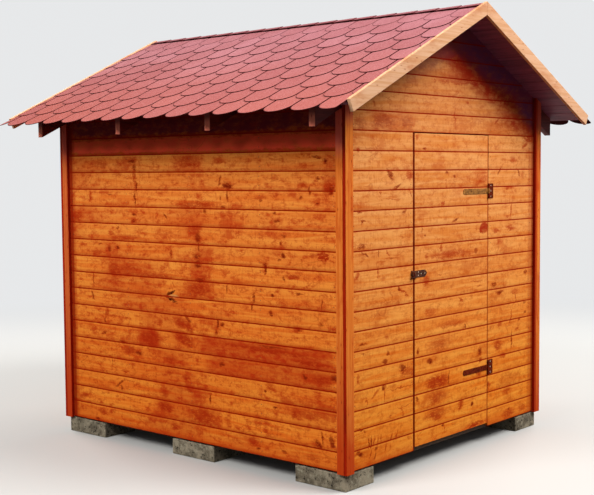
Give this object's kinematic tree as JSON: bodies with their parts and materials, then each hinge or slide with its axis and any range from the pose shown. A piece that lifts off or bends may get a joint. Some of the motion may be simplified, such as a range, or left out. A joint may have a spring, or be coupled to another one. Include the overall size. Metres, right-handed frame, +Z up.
{
  "type": "wooden garden shed",
  "caption": "Small timber shed with lapped board walls, a gable roof in round-ended shingles, a ledged door on strap hinges with a hasp, on loose concrete blocks.",
  "frame": {"origin": "on the ground under the middle of the roof", "axes": "+Z up, the door gable faces -Y, the ridge runs along Y, +X to the right seen from the door"},
  "size_m": [2.9634, 3.01, 2.8651],
  "materials": {
    "concrete_block": "rough pitted pale grey",
    "base_timber": "rough dark stained",
    "floor_timber": "planed",
    "wall_boards": "orange-brown wood stain",
    "front_boards": "yellow-orange wood stain",
    "door_boards": "yellow-orange wood stain",
    "frame_timber": "bare sawn pine",
    "rafter_timber": "dark brown-red stain",
    "roof_boards": "dark purple-brown stain",
    "shingle": "mineral-faced bitumen, brick red",
    "ridge_strip": "mineral-faced bitumen, brick red",
    "barge_timber": "pale pine, clear stain",
    "trim_timber": "red-orange wood stain",
    "plated_steel": "yellow zinc plate",
    "brown_steel": "dark brown, stained over",
    "latch_steel": "brown, stained over"
  },
  "bodies": {
    "shed": {"barge_front_left": "barge_timber", "barge_front_right": "barge_timber", "barge_rear_left": "barge_timber", "barge_rear_right": "barge_timber", "bearers": "base_timber", "blocks_left": "concrete_block", "blocks_right": "concrete_block", "door_frame": "frame_timber", "door_stops": "frame_timber", "floor_boards": "floor_timber", "floor_joists": "base_timber", "front_gable": "front_boards", "front_wall_left": "front_boards", "front_wall_right": "front_boards", "gable_ties": "frame_timber", "hinge_plate_lower": "brown_steel", "hinge_plate_upper": "plated_steel", "left_wall": "wall_boards", "rafters_front": "rafter_timber", "rafters_rear": "rafter_timber", "rafters_second": "rafter_timber", "rafters_third": "rafter_timber", "rear_wall": "wall_boards", "ridge_board": "rafter_timber", "ridge_cap": "ridge_strip", "ridge_posts": "frame_timber", "right_wall": "wall_boards", "roof_boards_left": "roof_boards", "roof_boards_right": "roof_boards", "shingles_left": "shingle", "shingles_right": "shingle", "sole_plates": "frame_timber", "staple": "latch_steel", "trims_front": "trim_timber", "trims_left": "trim_timber", "trims_rear": "trim_timber", "trims_right": "trim_timber", "wall_plates": "frame_timber", "wall_studs": "frame_timber"},
    "door": {"door_boards": "door_boards", "door_ledges": "frame_timber", "door_braces": "frame_timber", "hinge_strap_lower": "brown_steel", "hinge_strap_upper": "plated_steel", "hasp_leaf": "latch_steel"},
    "hasp": {"hasp_strap": "latch_steel"}
  },
  "joints": [
    {"name": "door_hinge", "type": "hinge", "parent": "shed", "child": "door", "pos_m": [0.439, -1.258, 1.103], "axis": [0, 0, 1], "range_deg": [0, 165]},
    {"name": "hasp_hinge", "type": "hinge", "parent": "door", "child": "hasp", "pos_m": [-0.399, -1.2562, 1.202], "axis": [0, 0, 1], "range_deg": [0, 165]}
  ]
}
